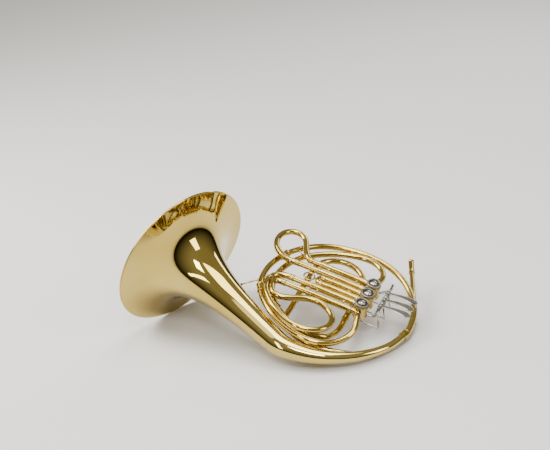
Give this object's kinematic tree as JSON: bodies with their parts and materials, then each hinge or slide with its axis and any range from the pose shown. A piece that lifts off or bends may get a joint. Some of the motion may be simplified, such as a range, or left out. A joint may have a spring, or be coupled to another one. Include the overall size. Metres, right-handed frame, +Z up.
{
  "type": "french horn",
  "caption": "Single french horn in lacquered yellow brass with rotary valves, spatula levers, pull-out valve slides, a tuning slide and a wide flared bell.",
  "frame": {"origin": "middle of the underside of the bounding box, on the surface the horn lies on", "axes": "+Z up; the valve caps face up and +X; the bell opens towards -X; the mouthpipe points towards +Y"},
  "size_m": [0.4732, 0.5358, 0.2874],
  "materials": {
    "lacquered_brass": "polished and lacquered",
    "nickel_silver": "satin nickel silver",
    "spring_steel": "plain steel"
  },
  "bodies": {
    "horn_body": {"bearing_plate_1": "nickel_silver", "bearing_plate_2": "nickel_silver", "bearing_plate_3": "nickel_silver", "bell_brace": "lacquered_brass", "bell_ferrule": "lacquered_brass", "bell_flare": "lacquered_brass", "bell_rim_bead": "lacquered_brass", "bell_tail": "lacquered_brass", "branch_ferrule": "lacquered_brass", "first_branch": "lacquered_brass", "first_sleeve_lower": "lacquered_brass", "first_sleeve_upper": "lacquered_brass", "hinge_post_lower": "nickel_silver", "hinge_post_upper": "nickel_silver", "hinge_rod": "spring_steel", "inlet_ferrule": "lacquered_brass", "lead_tube": "lacquered_brass", "lever_spring_1": "spring_steel", "lever_spring_2": "spring_steel", "lever_spring_3": "spring_steel", "mouthpiece_receiver": "lacquered_brass", "mouthpipe": "lacquered_brass", "mouthpipe_ferrule": "lacquered_brass", "outlet_ferrule": "lacquered_brass", "ring_brace_left": "lacquered_brass", "ring_brace_lower": "lacquered_brass", "ring_brace_upper": "lacquered_brass", "second_branch": "lacquered_brass", "second_sleeve_lower": "lacquered_brass", "second_sleeve_upper": "lacquered_brass", "slide_outlet_bow": "lacquered_brass", "third_sleeve_lower": "lacquered_brass", "third_sleeve_upper": "lacquered_brass", "tuning_sleeve_lead": "lacquered_brass", "tuning_sleeve_outlet": "lacquered_brass", "valve_cap_1": "nickel_silver", "valve_cap_2": "nickel_silver", "valve_cap_3": "nickel_silver", "valve_casing_1": "lacquered_brass", "valve_casing_2": "lacquered_brass", "valve_casing_3": "lacquered_brass", "valve_inlet_tube": "lacquered_brass", "valve_outlet_tube": "lacquered_brass"},
    "lever_1_body": {"lever_1": "nickel_silver"},
    "rotor_1_body": {"rotor_1": "spring_steel", "stop_arm_1": "nickel_silver"},
    "link_1_body": {"link_rod_1": "nickel_silver"},
    "lever_2_body": {"lever_2": "nickel_silver"},
    "rotor_2_body": {"rotor_2": "spring_steel", "stop_arm_2": "nickel_silver"},
    "link_2_body": {"link_rod_2": "nickel_silver"},
    "lever_3_body": {"lever_3": "nickel_silver"},
    "rotor_3_body": {"rotor_3": "spring_steel", "stop_arm_3": "nickel_silver"},
    "link_3_body": {"link_rod_3": "nickel_silver"},
    "tuning_slide_body": {"tuning_slide": "lacquered_brass"},
    "first_slide_body": {"first_valve_slide": "lacquered_brass"},
    "second_slide_body": {"second_valve_slide": "lacquered_brass", "pull_ring": "nickel_silver"},
    "third_slide_body": {"third_valve_slide": "lacquered_brass"}
  },
  "joints": [
    {"name": "lever_1_hinge", "type": "hinge", "parent": "horn_body", "child": "lever_1_body", "pos_m": [0.15296, 0.11979, 0.06564], "axis": [-0.3507, 0.9271, 0.1321], "range_deg": [0, 13], "stiffness_Nm_per_rad": 0.25, "springref_deg": -11.46},
    {"name": "lever_2_hinge", "type": "hinge", "parent": "horn_body", "child": "lever_2_body", "pos_m": [0.16032, 0.10032, 0.06287], "axis": [-0.3507, 0.9271, 0.1321], "range_deg": [0, 13], "stiffness_Nm_per_rad": 0.25, "springref_deg": -11.46},
    {"name": "lever_3_hinge", "type": "hinge", "parent": "horn_body", "child": "lever_3_body", "pos_m": [0.16734, 0.08178, 0.06023], "axis": [-0.3507, 0.9271, 0.1321], "range_deg": [0, 13], "stiffness_Nm_per_rad": 0.25, "springref_deg": -11.46},
    {"name": "rotor_1_spin", "type": "hinge", "parent": "horn_body", "child": "rotor_1_body", "pos_m": [0.11735, 0.10457, 0.04384], "axis": [-0.3247, 0.0119, -0.9457], "range_deg": [0, 90]},
    {"name": "rotor_2_spin", "type": "hinge", "parent": "horn_body", "child": "rotor_2_body", "pos_m": [0.1284, 0.07537, 0.03968], "axis": [-0.3247, 0.0119, -0.9457], "range_deg": [0, 90]},
    {"name": "rotor_3_spin", "type": "hinge", "parent": "horn_body", "child": "rotor_3_body", "pos_m": [0.13945, 0.04616, 0.03552], "axis": [-0.3247, 0.0119, -0.9457], "range_deg": [0, 90]},
    {"name": "link_1_travel", "type": "slide", "parent": "horn_body", "child": "link_1_body", "axis": [-0.8784, -0.3746, 0.2969], "range_m": [0, 0.0072]},
    {"name": "link_2_travel", "type": "slide", "parent": "horn_body", "child": "link_2_body", "axis": [-0.8784, -0.3746, 0.2969], "range_m": [0, 0.0072]},
    {"name": "link_3_travel", "type": "slide", "parent": "horn_body", "child": "link_3_body", "axis": [-0.8784, -0.3746, 0.2969], "range_m": [0, 0.0072]},
    {"name": "tuning_slide_travel", "type": "slide", "parent": "horn_body", "child": "tuning_slide_body", "axis": [-0.3962, 0.9062, 0.1474], "range_m": [0, 0.05]},
    {"name": "first_slide_travel", "type": "slide", "parent": "horn_body", "child": "first_slide_body", "axis": [-0.8784, -0.3746, 0.2969], "range_m": [0, 0.04]},
    {"name": "second_slide_travel", "type": "slide", "parent": "horn_body", "child": "second_slide_body", "axis": [-0.8784, -0.3746, 0.2969], "range_m": [0, 0.04]},
    {"name": "third_slide_travel", "type": "slide", "parent": "horn_body", "child": "third_slide_body", "axis": [-0.8784, -0.3746, 0.2969], "range_m": [0, 0.025]}
  ],
  "couplings": [
    {"joint": "rotor_1_spin", "follows": "lever_1_hinge", "ratio": 6.92},
    {"joint": "link_1_travel", "follows": "lever_1_hinge", "m_per_rad": 0.0311},
    {"joint": "rotor_2_spin", "follows": "lever_2_hinge", "ratio": 6.92},
    {"joint": "link_2_travel", "follows": "lever_2_hinge", "m_per_rad": 0.0311},
    {"joint": "rotor_3_spin", "follows": "lever_3_hinge", "ratio": 6.92},
    {"joint": "link_3_travel", "follows": "lever_3_hinge", "m_per_rad": 0.0311}
  ]
}
